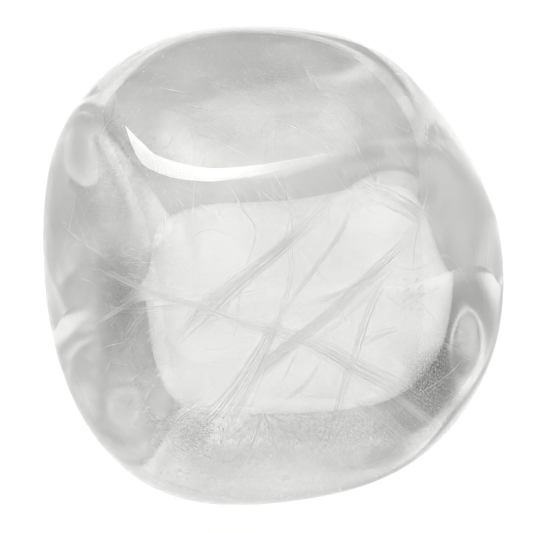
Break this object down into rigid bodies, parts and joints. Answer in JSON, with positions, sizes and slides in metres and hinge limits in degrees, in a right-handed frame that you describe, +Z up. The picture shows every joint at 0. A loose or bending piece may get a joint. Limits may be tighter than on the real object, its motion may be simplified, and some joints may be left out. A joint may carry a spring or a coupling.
{
  "type": "tumbled stone",
  "caption": "Clear quartz tumbled stone with pale needle inclusions, polished to a soft, uneven block.",
  "frame": {"origin": "under the middle of the stone's box, on the plane it rests on", "axes": "+X along the longest side, to the right as seen from the front; +Y to the back; +Z up, along the shortest side"},
  "size_m": [0.0304, 0.029, 0.0265],
  "materials": {
    "clear_quartz": "high polish, clear with milky veils and fine white needles inside"
  },
  "bodies": {
    "root": {"stone": "clear_quartz"}
  },
  "joints": []
}
